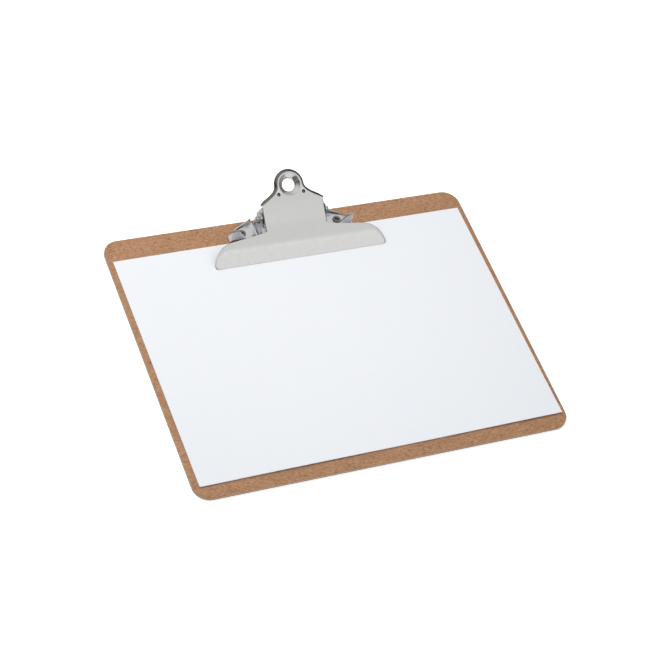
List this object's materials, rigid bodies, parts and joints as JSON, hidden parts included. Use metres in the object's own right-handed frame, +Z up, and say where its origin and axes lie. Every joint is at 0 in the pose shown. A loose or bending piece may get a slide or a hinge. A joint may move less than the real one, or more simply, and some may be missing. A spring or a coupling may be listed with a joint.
{
  "type": "clipboard",
  "caption": "Landscape hardboard clipboard with a wide sprung steel lever clip, a hang hole in its tongue and a sheet of paper held under the jaw.",
  "frame": {"origin": "centre of the board's underside, on the face it rests on", "axes": "+X along the board's long edge, +Y towards the edge that carries the clip, +Z up out of the writing face"},
  "size_m": [0.306, 0.2583, 0.0412],
  "materials": {
    "hardboard": "smooth pressed fibre, matt, with fine darker flecks",
    "paper": "matt white writing paper",
    "plated_steel": "bright nickel plate over pressed steel sheet",
    "rivet_steel": "nickel plated tubular rivet",
    "spring_steel": "drawn spring wire, zinc grey"
  },
  "bodies": {
    "board_body": {"board": "hardboard", "base_bracket": "plated_steel", "hinge_pin": "plated_steel", "rivet_left": "rivet_steel", "rivet_right": "rivet_steel", "torsion_spring_left": "spring_steel", "torsion_spring_right": "spring_steel"},
    "lever_body": {"clip_lever": "plated_steel"},
    "paper_body": {"paper_sheet": "paper"}
  },
  "joints": [
    {"name": "jaw_hinge", "type": "hinge", "parent": "board_body", "child": "lever_body", "pos_m": [0.001, 0.1095, 0.0178], "axis": [-1, 0, 0], "range_deg": [0, 25], "stiffness_Nm_per_rad": 0.9, "springref_deg": -40.11, "deforming": ["torsion_spring_left", "torsion_spring_right"]},
    {"name": "sheet_slide", "type": "slide", "parent": "board_body", "child": "paper_body", "axis": [0, -1, 0], "range_m": [0, 0.03]}
  ]
}
